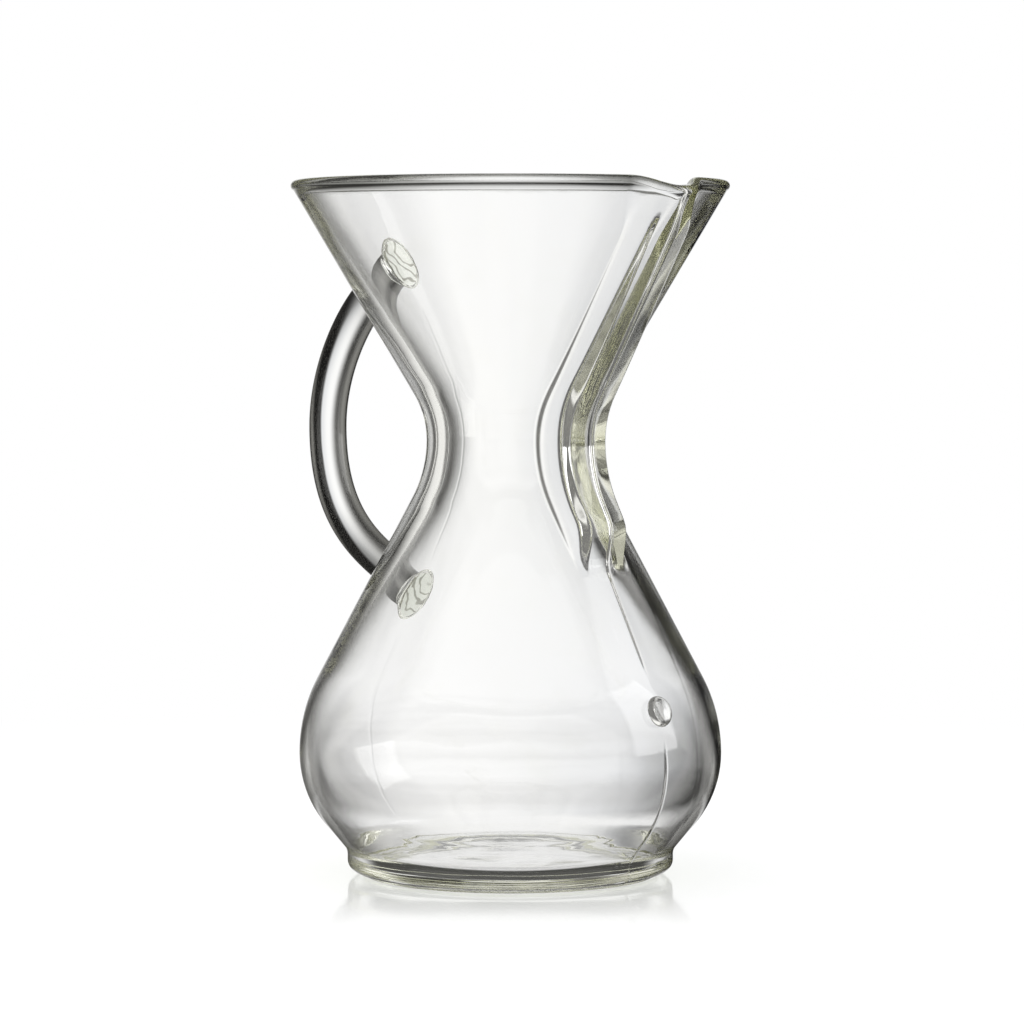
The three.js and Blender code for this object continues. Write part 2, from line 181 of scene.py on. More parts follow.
class GlassLook(PropertyGroup):
    """Colours of the glass, some of them painted light and shade"""
    clear: colour("Clear", (1, 1, 1), "What the surface lets through")
    smudge: colour("Smudge", (0.985, 0.985, 0.975), "What it lets through where it is a little smeared")
    depth_tint: colour("Depth tint", (0.76, 0.765, 0.52), "Colour that thick glass takes on")
    # Painted shade: edge darkens what the glass lets through where it is seen edge on, in place of the dark
    # outlines that refraction gives
    edge: colour("Edge", (0.15, 0.148, 0.138), "What it lets through where it is seen edge on")
    # Painted light: along the channel the edge colour is a cream tone, in place of the warm light its glass
    # refracts
    channel_painted_cream: colour("Channel edge", (0.8, 0.785, 0.66), "The same in the channel")
    # Painted shade: dark lines round the rim's bead, where it is seen edge on
    rim: colour("Rim", (0.25, 0.25, 0.235), "The same at the rim")
    # Painted shade: the handle's dark outline, where the rod is seen edge on
    rod_painted_shade: colour("Rod edge", (0.13, 0.128, 0.12), "The same in the handle")
    shade: colour("Shade", (0.96, 0.965, 0.955), "Light that one face lets through to the floor")
    # Painted light: skin is a pale matte face in place of the bright light seen through the pads' wrinkled
    # faces
    skin: colour("Skin", (1, 1, 0.985), "Chilled skin of the melted faces")
    # Painted shade: the folds' grey stands in for the shading of the wrinkles, in rings of their own
    painted_fold_shade: colour("Fold", (0.45, 0.44, 0.41), "Folds in that skin")


class StudioLook(PropertyGroup):
    """Colours and light of the studio"""
    floor: colour("Floor", (0.86, 0.86, 0.86), "Floor near the object")
    dark: colour("Dark", (0.02, 0.0195, 0.019), "The right flag")
    room: colour("Room", (0.97, 0.965, 0.94), "Pale walls of the room")
    streak: colour("Streak", (0.42, 0.41, 0.4), "Soft streaks on the backdrop's foot")
    under: colour("Under", (0.06, 0.06, 0.055), "Shade round the foot")
    grey: colour("Grey", (0.1, 0.098, 0.094), "The left flag")
    table: colour("Table", (0.92, 0.92, 0.92), "Bright floor round the foot")
    dim: colour("Dim", (0.8, 0.81, 0.83), "The backdrop's dimmer side")
    ambient: FloatProperty(name="Ambient", description="Even light from all around", default=0.95, min=0)
    lamp_power: FloatProperty(name="Lamp power", description="Overhead lamp", default=7, min=0, unit="POWER")


def ease(value, low, high):
    """0 below low, 1 above high, smooth between them."""
    share = min(1, max(0, (value - low) / (high - low)))
    return share * share * (3 - 2 * share)


def ramp(value, low, high, soft):
    """0 below low, 1 above high, straight between them but for a round bend of a soft share at each end."""
    share = min(1, max(0, (value - low) / (high - low)))
    near = min(share, 1 - share)
    rise = near * near / (2 * soft * (1 - soft)) if near < soft else (near - soft / 2) / (1 - soft)
    return rise if share < 0.5 else 1 - rise


def blend(low, high, share):
    return low + (high - low) * share


def along(start, end, steps):
    """Evenly spaced values, both ends included."""
    return [blend(start, end, i / steps) for i in range(steps + 1)]


def arc(centre, radius, start, end, grain=GRAIN):
    """Points along an arc of the (radius, height) half plane, both ends included."""
    steps = max(4, ceil(abs(radius * (end - start)) / grain))
    return [centre + radius * Vector((cos(turn), sin(turn))) for turn in along(start, end, steps)]


def straight(start, end, grain=GRAIN):
    """Points between two points of the half plane, both ends left out."""
    steps = max(1, ceil((end - start).length / grain))
    return [start.lerp(end, i / steps) for i in range(1, steps)]


def heading_of(point):
    return atan2(point.y, point.x)


def bead_round(wall):
    return (wall.cone_wall + wall.rim_swell) / 2


def bead_centre(wall):
    return Vector((wall.rim_radius - bead_round(wall), wall.rim_height - bead_round(wall)))


def wall_face(wall, cone=0, neck=0, bulb=0):
    """One face of the wall from the bulb's widest ring to the rim's bead.

    cone, neck and bulb say how deep the face lies in the glass at those places.
    """
    bulb_bend = wall.bulb_upper_bend - bulb
    lower_bend = wall.neck_lower_bend + neck
    upper_bend = wall.neck_upper_bend + neck
    bulb_centre = Vector((wall.bulb_radius - wall.bulb_upper_bend, wall.bulb_height))
    lower_centre = Vector((wall.neck_radius + wall.neck_lower_bend, wall.neck_height))
    upper_centre = Vector((wall.neck_radius + wall.neck_upper_bend, wall.neck_height))
    bead = bead_centre(wall)
    # The shoulder touches the bulb's bend and the neck's lower bend, and the cone runs on to the bead
    rise = lower_centre - bulb_centre
    shoulder = heading_of(rise) - acos((bulb_bend + lower_bend) / rise.length)
    reach = bead - upper_centre
    beside = wall.cone_wall / 2 - cone
    slope = acos(-(upper_bend + beside) / reach.length) - heading_of(reach)
    sink = sqrt(bead_round(wall) ** 2 - beside ** 2)
    top = bead + beside * Vector((cos(slope), -sin(slope))) - sink * Vector((sin(slope), cos(slope)))
    upper = arc(bulb_centre, bulb_bend, 0, shoulder)
    below = arc(lower_centre, lower_bend, shoulder + pi, pi)
    above = arc(upper_centre, upper_bend, pi, pi - slope)[1:]
    return [*upper, *straight(upper[-1], below[0]), *below, *above, *straight(above[-1], top), top]


def lower_bend(wall):
    """Centre of the bulb's lower bend, and the turn at which it goes over into the run down to the heel."""
    centre = Vector((wall.bulb_radius - wall.bulb_lower_bend, wall.bulb_height))
    heel = Vector((wall.heel_radius, wall.heel_height)) - centre
    return centre, heading_of(heel) + acos(wall.bulb_lower_bend / heel.length)


def foot_and_heel(wall):
    """The outer face from the middle of the underside up to just below the bulb's widest ring."""
    inside = wall.foot_radius - wall.foot_width
    dish = [Vector((r, wall.foot_dish * (1 - ease(r, 0.85 * inside, inside)))) for r in along(0, inside, 30)]
    edge = 0.45 * wall.foot_step
    ring = arc(Vector((wall.foot_radius - edge, edge)), edge, -pi / 2, 0)
    heel_centre = Vector((wall.heel_radius - wall.heel_round, wall.foot_step + wall.heel_round))
    heel = arc(heel_centre, wall.heel_round, -pi / 2, 0, GRAIN / 3)
    centre, turn = lower_bend(wall)
    bulb = arc(centre, wall.bulb_lower_bend, turn, 0)
    crease = Vector((wall.heel_radius, wall.heel_height))
    soft = 0.5 * (crease - heel[-1]).length
    start = crease - Vector((0, soft))
    end = crease + soft * (bulb[0] - crease).normalized()
    fillet = interpolate_bezier(start, start.lerp(crease, 2 / 3), end.lerp(crease, 2 / 3), end, 6)
    rise = [*straight(heel[-1], start), *fillet, *straight(end, bulb[0])]
    return [*dish, *straight(dish[-1], ring[0]), *ring, *heel, *rise, *bulb[:-1]]


def outer_outline(wall):
    return [*foot_and_heel(wall), *wall_face(wall)]


def inner_outline(wall):
    """The inner face from the rim's bead down to the middle of the floor."""
    face = wall_face(wall, wall.cone_wall, wall.neck_wall, wall.bulb_wall)
    bend = wall.bulb_lower_bend - wall.bulb_wall
    centre, turn = lower_bend(wall)
    bowl = arc(centre, bend, 0, turn)[1:]
    # The floor's corner touches the straight run into the heel and the floor
    corner = Vector((0, wall.floor_wall + wall.floor_corner))
    drop = (corner.y - centre.y) * sin(turn)
    corner.x = centre.x + (bend - wall.floor_corner - drop) / cos(turn)
    edge = arc(corner, wall.floor_corner, turn, -pi / 2, GRAIN / 3)
    middle = Vector((0, wall.floor_wall))
    down = [*bowl, *straight(bowl[-1], edge[0]), *edge]
    return [*reversed(face), *down, *straight(down[-1], middle), middle]


def rim_outline(wall, start, end):
    """The rim's round bead between two points of the faces, which are left out."""
    centre = bead_centre(wall)
    over = heading_of(end - centre) % (2 * pi)
    return arc(centre, bead_round(wall), heading_of(start - centre), over, GRAIN / 6)[1:-1]


def outline_radius(outline, height):
    """Radius of an upward outline at a height."""
    above = next(i for i, point in enumerate(outline) if point.y > height)
    low, high = outline[above - 1], outline[above]
    return blend(low.x, high.x, (height - low.y) / (high.y - low.y))


def wall_seat(wall, height, side):
    """A frame on the outer wall in the seam plane: X level, Y along the slope, Z out of the wall."""
    outline = wall_face(wall)
    radius = outline_radius(outline, height)
    step = GRAIN / 4
    lean = (outline_radius(outline, height + step) - outline_radius(outline, height - step)) / (2 * step)
    out = Vector((side, 0, -lean)).normalized()
    level = Vector((0, side, 0))
    seat = Matrix((level, out.cross(level), out)).transposed().to_4x4()
    seat.translation = (side * radius, 0, height)
    return seat


def wall_below(outline, seat, x, y):
    """How far the outer wall lies along a seat's Z at a place beside the seat's middle."""
    spot = seat @ Vector((x, y, 0))
    out = seat.to_3x3() @ Vector((0, 0, 1))
    level = 0
    for _ in range(5):
        point = spot + level * out
        level -= (hypot(point.x, point.y) - outline_radius(outline, point.z)) * hypot(out.x, out.y)
    return level


def column_turn(share, radius, wall, channel):
    """Where a column of the wall stands round the axis, for a share of the half turn from 0 to 1.

    Columns beside the channel and the seam behind keep their distance from the seam plane at every height.
    """
    half = COLUMNS // 2
    column = round(share * half)
    reach = max(radius, wall.neck_radius - wall.neck_wall)
    front = max(channel.crest / 2 + channel.flank, channel.lip_crest / 2 + channel.lip_flank)
    if column <= CHANNEL_COLUMNS:
        return asin(front * (column / CHANNEL_COLUMNS) ** COLUMN_CROWDING / reach)
    if half - column <= SEAM_COLUMNS:
        return pi - asin(SEAM_BAND * ((half - column) / SEAM_COLUMNS) ** COLUMN_CROWDING / reach)
    rest = (column - CHANNEL_COLUMNS) / (half - CHANNEL_COLUMNS - SEAM_COLUMNS)
    return blend(asin(front / reach), pi - asin(SEAM_BAND / reach), rest)


def press_channel(place, through, wall, channel):
    """Moves a point of the wall out into the channel. through is 0 on the outer face and 1 on the inner."""
    if place.x <= 0:
        return
    lip = ease(place.z, wall.rim_height - channel.lip_height, wall.rim_height)
    crest = blend(channel.crest, channel.lip_crest, lip) / 2 - wall.cone_wall * through
    flank = blend(channel.flank, channel.lip_flank, lip)
    trough = 1 - ramp(abs(place.y), crest, crest + flank, blend(CREASE, 0.5, lip))
    depth = blend(channel.depth, channel.lip_reach, lip)
    place.x += depth * trough * ease(place.z, channel.end_height, channel.end_height + channel.fade)
    place.z -= channel.lip_drop * lip * trough


def raise_seam(place, through, wall, fused):
    """Lifts the mould seams out of the outer face, clear of what is melted onto it."""
    beside = abs(place.y) / (wall.seam_width / 2)
    if through > 0 or beside >= 1 or place.z < wall.foot_step:
        return
    seats = (fused.button_seat,) if place.x > 0 else (fused.upper_seat, fused.lower_seat)
    clear = min(ease(abs(place.z - seat), fused.pad_length / 2, fused.pad_length) for seat in seats)
    top = 1 - ease(place.z, wall.rim_height - 3 * bead_round(wall), wall.rim_height - 2 * bead_round(wall))
    height = wall.seam_height if place.x > 0 else wall.seam_height * BACK_SEAM
    place.x += copysign(height * clear * top * (1 - ease(beside, 0, 1)), place.x)


def ripple_wall(place, through, wall):
    """Makes the inner face as uneven as blown glass, and the outer face much less so."""
    broad = noise.noise(Vector((place.x * 24, place.y * 24, place.z * 46)))
    fine = noise.noise(Vector((place.x * 60, place.y * 60, place.z * 130 + 7)))
    floor = through * (1 - ease(place.z, wall.floor_wall, wall.floor_wall + wall.floor_corner))
    place.z += floor * wall.floor_ripple * noise.noise(Vector((place.x, place.y, 0)) * 70)
    outward = Vector((place.x, place.y, 0))
    if outward.length > wall.neck_radius / 2:
        outward.normalize()
        place += outward * wall.ripple * blend(0.25, 1, through) * (broad + 0.3 * fine)


def new_mesh(name):
    return bmesh.new(), bpy.data.meshes.new(name)


def finish_piece(work, mesh, material, node):
    """Closes a bmesh and makes it the piece that stands for a solid."""
    bmesh.ops.remove_doubles(work, verts=work.verts, dist=0.002 * MM)
    bmesh.ops.recalc_face_normals(work, faces=work.faces)
    work.to_mesh(mesh)
    work.free()
    mesh.shade_smooth()
    mesh.set_sharp_from_angle(angle=SHARP)
    mesh.materials.append(material)
    piece = bpy.data.objects.new(mesh.name, mesh)
    bpy.context.collection.objects.link(piece)
    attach(piece, "root")
    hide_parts(node)
    return piece


def chain(work, points):
    """A line of vertices and edges through points."""
    verts = [work.verts.new(point) for point in points]
    edges = [work.edges.new(pair) for pair in zip(verts, verts[1:])]
    return verts, edges


def spin_outline(work, points, steps):
    """Spins a half-plane outline round Z into a closed shape."""
    verts, edges = chain(work, [(point.x, 0, point.y) for point in points])
    bmesh.ops.spin(work, geom=verts + edges, axis=(0, 0, 1), angle=2 * pi, steps=steps, use_merge=True)
    bmesh.ops.remove_doubles(work, verts=work.verts, dist=0.002 * MM)


class Wire:
    """A node's output that takes part in Python sums, each of which adds a Math node."""

    def __init__(self, recipe, socket):
        self.recipe = recipe
        self.socket = socket

    def other(self, output):
        """Another output of the same node."""
        return Wire(self.recipe, self.socket.node.outputs[output])

    def sum(self, operation, first, second):
        return self.recipe.node("ShaderNodeMath", {"operation": operation}, {0: first, 1: second})

    def __add__(self, other):
        return self.sum("ADD", self, other)

    def __sub__(self, other):
        return self.sum("SUBTRACT", self, other)

    def __rsub__(self, other):
        return self.sum("SUBTRACT", other, self)

    def __mul__(self, other):
        return self.sum("MULTIPLY", self, other)

    def __or__(self, other):
        """The larger of two masks."""
        return self.sum("MAXIMUM", self, other)

    __radd__ = __add__
    __rmul__ = __mul__


class Recipe:
    """The node tree of a material or of the world."""

    def __init__(self, owner):
        owner.use_nodes = True
        self.tree = owner.node_tree
        self.tree.nodes.clear()

    def node(self, kind, settings=None, sockets=None, output=0):
        """Adds a node: its settings are set first, then its sockets take values or wires."""
        made = self.tree.nodes.new(kind)
        for name, value in (settings or {}).items():
            setattr(made, name, value)
        for name, value in (sockets or {}).items():
            if isinstance(value, Wire):
                self.tree.links.new(value.socket, made.inputs[name])
            else:
                made.inputs[name].default_value = value
        return Wire(self, made.outputs[output]) if made.outputs else None

    def ease(self, value, low, high):
        """0 below low, 1 above high, smooth between them."""
        sockets = {"Value": value, "From Min": low, "From Max": high, "To Min": 0, "To Max": 1}
        return self.node("ShaderNodeMapRange", {"interpolation_type": "SMOOTHSTEP"}, sockets)

    def mix(self, share, first, second):
        """A colour between two colours."""
        return self.node("ShaderNodeMix", {"data_type": "RGBA"}, {0: share, 6: first, 7: second}, 2)

    def dot(self, first, second):
        return self.node("ShaderNodeVectorMath", {"operation": "DOT_PRODUCT"}, {0: first, 1: second}, "Value")

    def clouds(self, place, scale, detail=2, stretch=(1, 1, 1)):
        """Soft noise from 0 to 1 with about scale lumps in a metre."""
        spot = self.node("ShaderNodeMapping", {}, {"Vector": place, "Scale": stretch})
        return self.node("ShaderNodeTexNoise", {}, {"Vector": spot, "Scale": scale, "Detail": detail})


def rgba(value):
    return (*value, 1)


def edge_painted_shade(recipe, look, place, clear, rim_height, rod):
    """What the glass lets through, with painted shade: less where it is seen edge on.

    The vessel, which has a rim height, stays clear on level faces, has painted cream light along its channel
    and painted dark lines round its rim.
    """
    # Painted shade: the glass's colour darkens as it turns edge on
    facing = recipe.node("ShaderNodeLayerWeight", {}, {"Blend": 0.5}, "Facing")
    edge = recipe.ease(facing, *(ROD_PAINTED_FACING if rod else PAINTED_EDGE_FACING))
    shade = rgba(look.rod_painted_shade if rod else look.edge)
    if not rim_height:
        return recipe.mix(edge, clear, shade)
    up = recipe.dot(recipe.node("ShaderNodeNewGeometry", output="Normal"), (0, 0, 1))
    edge = edge * (1 - recipe.ease(up * up, *LEVEL_FACE))
    # Along the channel the painted dark edge turns to painted cream light
    front, aside, height = (recipe.dot(place, axis) for axis in ((1, 0, 0), (0, 1, 0), (0, 0, 1)))
    channel = (1 - recipe.ease(aside * aside, *CHANNEL_SIDE)) * recipe.ease(front, *CHANNEL_FRONT)
    channel = channel * recipe.ease(height, *CHANNEL_START)
    tint = recipe.mix(edge, clear, recipe.mix(channel, shade, rgba(look.channel_painted_cream)))
    # Painted shade: dark lines round the rim
    rim = recipe.ease(height, rim_height - RIM_PAINTED_LINES[0], rim_height - RIM_PAINTED_LINES[1])
    return recipe.mix(rim * recipe.ease(facing, *RIM_PAINTED_FACING), tint, rgba(look.rim))


def painted_skin_and_folds(recipe, look, place, normal, middle):
    """A pale matte skin of painted light, with folds of painted shade in uneven rings round a middle."""
    spot = recipe.node("ShaderNodeMapping", {}, {"Vector": place, "Location": -middle})
    rings = recipe.node("ShaderNodeTexWave", {"wave_type": "RINGS", "rings_direction": "SPHERICAL"}, {
        "Vector": spot, "Scale": FOLD_SCALE, "Distortion": FOLD_SWERVE, "Detail": 1, "Detail Scale": 2})
    tone = recipe.mix(recipe.ease(rings, *FOLD_EDGE), rgba(look.painted_fold_shade), rgba(look.skin))
    return recipe.node("ShaderNodeBsdfDiffuse", {}, {"Color": tone, "Normal": normal})


def glass_material(name, look, wave, wave_depth, wave_stretch=(1, 1, 1), skin=None, rim_height=0, rod=False):
    """Clear glass with faint waves, smears and painted edge-on shade, olive where it is thick, that lets light
    through to the floor.

    skin is the middle of the rings in a pale chill skin of painted light and painted fold shade, rim_height is
    the vessel's, and rod is for the handle.
    """
    material = bpy.data.materials.new(name)
    recipe = Recipe(material)
    place = recipe.node("ShaderNodeTexCoord", output="Object")
    waves = recipe.clouds(place, wave, 3, wave_stretch)
    normal = recipe.node("ShaderNodeBump", {}, {"Strength": 1, "Distance": wave_depth, "Height": waves})
    smears = recipe.ease(recipe.clouds(place, SMEAR_SCALE, 4), *SMEAR_EDGE)
    clear = recipe.mix(smears, rgba(look.clear), rgba(look.smudge))
    # The base colour holds painted shade where the glass is seen edge on
    surface = recipe.node("ShaderNodeBsdfPrincipled", {}, {
        "Base Color": edge_painted_shade(recipe, look, place, clear, rim_height, rod),
        "Roughness": smears * SMEAR_ROUGHNESS,
        "IOR": GLASS_IOR,
        "Transmission Weight": 1,
        "Normal": normal,
    })
    # Painted light: most of a pad's melted face is a pale matte skin, with painted fold shade
    if skin:
        chilled_painted_skin = painted_skin_and_folds(recipe, look, place, normal, skin)
        surface = recipe.node("ShaderNodeMixShader", {}, {0: PAINTED_SKIN_SHARE, 1: surface, 2: chilled_painted_skin})
    path = recipe.node("ShaderNodeLightPath", output="Is Shadow Ray")
    passing = recipe.node("ShaderNodeBsdfTransparent", {}, {"Color": rgba(look.shade)})
    lit_through = path | path.other("Is Diffuse Ray")
    shader = recipe.node("ShaderNodeMixShader", {}, {0: lit_through, 1: surface, 2: passing})
    depth = recipe.node("ShaderNodeVolumeAbsorption", {}, {
        "Color": rgba(look.depth_tint), "Density": TINT_DENSITY})
    recipe.node("ShaderNodeOutputMaterial", {}, {"Surface": shader, "Volume": depth})
    return material


class COFFEE_OT_vessel(Operator):
    """Blow the vessel: spin its wall, press the channel, raise the seams and make the glass uneven"""
    bl_idname = "coffee.vessel"
    bl_label = "Blow the vessel"

    def execute(self, context):
        wall, channel, fused = context.scene.wall, context.scene.channel, context.scene.fused
        outer = outer_outline(wall)
        inner = inner_outline(wall)
        rim = rim_outline(wall, outer[-1], inner[0])
        shares = [0] * len(outer) + [(i + 1) / (len(rim) + 1) for i in range(len(rim))] + [1] * len(inner)
        work, mesh = new_mesh("blown_vessel")
        layer = work.verts.layers.float.new("through")
        verts, edges = chain(work, [(point.x, 0, point.y) for point in [*outer, *rim, *inner]])
        for vert, share in zip(verts, shares):
            vert[layer] = share
        bmesh.ops.spin(work, geom=verts + edges, axis=(0, 0, 1), angle=2 * pi, steps=COLUMNS, use_merge=True)
        bmesh.ops.remove_doubles(work, verts=work.verts, dist=0.002 * MM)
        for vert in work.verts:
            place, through = vert.co, vert[layer]
            radius = hypot(place.x, place.y)
            turn = column_turn(abs(atan2(place.y, place.x)) / pi, radius, wall, channel)
            turn = copysign(turn, place.y)
            place.x, place.y = radius * cos(turn), radius * sin(turn)
            press_channel(place, through, wall, channel)
            raise_seam(place, through, wall, fused)
            ripple_wall(place, through, wall)
        work.verts.layers.float.remove(layer)
        glass = glass_material("clear_glass", context.scene.glass, 38, 0.05 * MM, (1, 1, 1.8),
                               rim_height=wall.rim_height)
        finish_piece(work, mesh, glass, "vessel")
        return {"FINISHED"}


class COFFEE_OT_handle(Operator):
    """Bend the handle: run a round section along the rod's centre line from pad to pad"""
    bl_idname = "coffee.handle"
    bl_label = "Bend the handle"

    def execute(self, context):
        wall, fused = context.scene.wall, context.scene.fused
        radius = fused.rod_diameter / 2
        grip = Vector((radius - GRIP_REACH, 0, fused.grip_height))
        halves = []
        for height, pull, grip_pull in (
            (fused.upper_seat, fused.upper_pull, fused.upper_grip_pull),
            (fused.lower_seat, fused.lower_pull, -fused.lower_grip_pull),
        ):
            seat = wall_seat(wall, height, -1)
            start = seat @ Vector((0, 0, fused.pad_height + TOUCHING))
            away = seat @ Vector((0, 0, fused.pad_height + pull))
            halves.append(interpolate_bezier(start, away, grip + Vector((0, 0, grip_pull)), grip, ROD_STEPS))
        line = [*halves[0], *reversed(halves[1][:-1])]
        upper_out = wall_seat(wall, fused.upper_seat, -1).to_3x3() @ Vector((0, 0, 1))
        lower_out = wall_seat(wall, fused.lower_seat, -1).to_3x3() @ Vector((0, 0, 1))
        runs = [after - before for before, after in zip(line, line[2:])]
        runs = [upper_out, *runs, -lower_out]
        frames = []
        for place, run in zip(line, runs):
            frames.append(Matrix.Translation(place) @ Matrix.Rotation(atan2(run.x, run.z), 4, "Y"))
        work, mesh = new_mesh("handle_rod")
        ring = bmesh.ops.create_circle(work, segments=ROD_SIDES, radius=radius, matrix=frames[0])["verts"]
        edges = list({edge for vert in ring for edge in vert.link_edges})
        for before, after in zip(frames, frames[1:]):
            made = bmesh.ops.extrude_edge_only(work, edges=edges)["geom"]
            verts = [item for item in made if isinstance(item, bmesh.types.BMVert)]
            edges = [item for item in made if isinstance(item, bmesh.types.BMEdge)]
            edges = [edge for edge in edges if all(vert in verts for vert in edge.verts)]
            bmesh.ops.transform(work, matrix=after @ before.inverted(), verts=verts)
        bmesh.ops.holes_fill(work, edges=[edge for edge in work.edges if edge.is_boundary], sides=0)
        glass = glass_material("rod_glass", context.scene.glass, 30, 0.04 * MM, rod=True)
        finish_piece(work, mesh, glass, "handle")
        return {"FINISHED"}


class COFFEE_OT_pads(Operator):
    """Melt the two pads that join the handle to the wall, with chill wrinkles in their faces"""
    bl_idname = "coffee.pads"
    bl_label = "Melt the pads"

    def execute(self, context):
        wall, fused = context.scene.wall, context.scene.fused
        look = context.scene.glass
        clear = glass_material("fused_glass", look, 160, 0.12 * MM)
        for height, name, node, seed in (
            (fused.upper_seat, "upper_pad", "upper_handle_weld", Vector((3, 0, 0))),
            (fused.lower_seat, "lower_pad", "lower_handle_weld", Vector((0, 5, 0))),
        ):
            # Each pad's melted face gets a pale skin of painted light and painted fold shade
            middle = wall_seat(wall, height, -1).translation + FOLD_MIDDLE
            chilled_painted_skin = glass_material(name + "_skin", look, 330, 0.3 * MM, skin=middle)
            self.melt(wall, fused, (clear, chilled_painted_skin), height, name, node, seed)
        return {"FINISHED"}

    def melt(self, wall, fused, finishes, height, name, node, seed):
        """One pad: the rod's round section flares into an oval foot with a wrinkled face."""
        foot, rod = fused.pad_width / 2, fused.rod_diameter / 2
        steps = ceil(foot / FUSED_GRAIN)
        face = [Vector((r, 0)) for r in along(0, foot, steps)]
        flare = interpolate_bezier(
            Vector((foot, 0)), Vector((foot, fused.pad_height / 2)), Vector((rod, fused.pad_height / 2)),
            Vector((rod, fused.pad_height)), 16)
        work, mesh = new_mesh(name)
        points = [*face, *flare[1:], Vector((0, fused.pad_height))]
        spin_outline(work, points, FUSED_SIDES)
        for item in work.faces:
            reach = hypot(item.calc_center_median().x, item.calc_center_median().y)
            melted = item.calc_center_median().z < TOUCHING and reach < PAINTED_SKIN_REACH * foot
            item.material_index = 1 if melted else 0
        seat = wall_seat(wall, height, -1)
        outline = wall_face(wall)
        for vert in work.verts:
            place = vert.co
            low = 1 - ease(place.z, 0, fused.pad_height)
            reach = hypot(place.x, place.y) / foot
            place.y *= blend(1, fused.pad_length / fused.pad_width, low)
            rings = 0.5 + 0.5 * sin(20 * reach + 3 * noise.noise(Vector((place.x, place.y, 0)) * 300 + seed))
            lumps = 0.5 + 0.5 * noise.noise(Vector((place.x, place.y, 0)) * 420 + seed)
            wrinkle = fused.wrinkle * (0.5 * rings + 0.5 * lumps) if place.z < TOUCHING else 0
            place.z += low * (wall_below(outline, seat, place.x, place.y) + TOUCHING + wrinkle)
        bmesh.ops.transform(work, matrix=seat, verts=work.verts)
        piece = finish_piece(work, mesh, finishes[0], node)
        piece.data.materials.append(finishes[1])


class COFFEE_OT_button(Operator):
    """Melt the level button onto the bulb under the channel"""
    bl_idname = "coffee.button"
    bl_label = "Melt the level button"

    def execute(self, context):
        wall, fused = context.scene.wall, context.scene.fused
        radius = fused.button_diameter / 2
        base = [Vector((r, 0)) for r in along(0, radius, 12)]
        dome = [
            Vector((radius * cos(turn), fused.button_height * sin(turn))) for turn in along(0, pi / 2, 16)
        ]
        dome[-1].x = 0
        work, mesh = new_mesh("level_button_dome")
        spin_outline(work, [*base, *dome[1:]], FUSED_SIDES)
        seat = wall_seat(wall, fused.button_seat, 1)
        outline = wall_face(wall)
        for vert in work.verts:
            low = 1 - ease(vert.co.z, 0, fused.button_height)
            vert.co.z += low * (wall_below(outline, seat, vert.co.x, vert.co.y) + TOUCHING)
        bmesh.ops.transform(work, matrix=seat, verts=work.verts)
        glass = glass_material("button_glass", context.scene.glass, 120, 0.08 * MM)
        finish_piece(work, mesh, glass, "level_button")
        return {"FINISHED"}


# The studio as the glass sees it. Headings are in degrees to the left of straight, the way through the object
# from the camera's side. A white backdrop stands behind the object, between a dark flag on the right and a
# grey one on the left, with pale walls beside them and dark far sides. On the floor, the backdrop's edges lie
# wider apart and are softer near the object. Distances are in metres from the axis.
STRAIGHT = 134.5  # from +X
BACKDROP_LEFT = (5, 20)  # from white to grey
BACKDROP_RIGHT = (-12.5, -8)  # from dark to white
NEAR_RIGHT = (-14.5, -5)  # the same on the floor near the object
LEFT_BACK, RIGHT_BACK = 0.133, 0.172  # how far in front of the object these edges would meet on the floor
NEAR_BACKDROP = (0.4, 1.2)  # distances over which the near edge turns into the far one
BACKDROP_DIM = (-9, 3)  # over which the backdrop gets a little dimmer to the right
BACKDROP_TOP = (0.12, 0.3)  # slopes between which it ends
FLAGS = (-44, -28, 20, 42)  # from the pale walls to the dark and grey flags and back
SIDE_FLAGS = (-115, -100, 100, 115)  # the same for what the outside mirrors
FAR_SIDES = (52 ** 2, 60 ** 2)  # squared headings over which the far sides get dark for all glass
FAR_DARK = 0.85  # how dark those are
FLAG_BACK = 0.03  # how far in front of the object the flags would meet on the floor
NEAR_SIDES = (0.1, 0.3)  # distances over which the floor's dark sides turn pale
NEAR_DARK = 0.5  # how dark they are near the object
BEHIND_BACKDROP = (-13, -8, 8, 13)  # a backdrop on the floor in front, for a view from behind
BEHIND_FLAGS = (-45, -40, 40, 45)  # and grey flags beside it
BEHIND_SHARE = 0.4  # how grey those are
BEHIND_START = (-0.12, -0.05)  # and how far in front of the axis they start, as a place ahead of it
SOFTBOX = 42, 15, 0.02, 0.66, 2.2  # heading from +X, half width, lowest and highest slope, brightness
SOFTBOX_EDGE = 1.5
SOFTBOX_ENDS = (0.01, 0.02)  # softness of its lower and upper end
NEAR_FLOOR = (0.25, 0.5)  # distances over which the floor turns white for the camera
FOOT_TABLE = (0.049, 0.053)  # distances over which the bright table under the foot ends
FOOT_RING = (0.035, 0.04, 0.058, 0.075)  # where the shade in front of the foot starts, is full and ends
FOOT_RING_END = (-0.022, -0.008)  # and where it ends, as a place ahead of the axis
BRIGHT_TABLE = (0.09, 0.13)  # distances over which the bright patch behind the foot ends
BRIGHT_START = (0.042, 0.06)  # how far behind the axis it starts
GLOSS_FLOOR = (0.06, 0.14)  # over which the floor's gloss ends
GLOSS_FACING = (0.6, 0.85)
GLOSS_ROUGHNESS = 0.1
FLOOR_GLOSS = 0.38
STREAK_FLOOR = (0.2, 0.8)  # distances over which the soft streaks end
STREAK_SHARE = 0.3
STREAK_SCALE = 9
STREAK_STRETCH = (1, 5, 1)
STREAK_EDGE = (0.35, 0.7)
FLOOR_DROP = 0.2 * MM  # how far the floor lies below the foot
FLOOR_REACH = 8


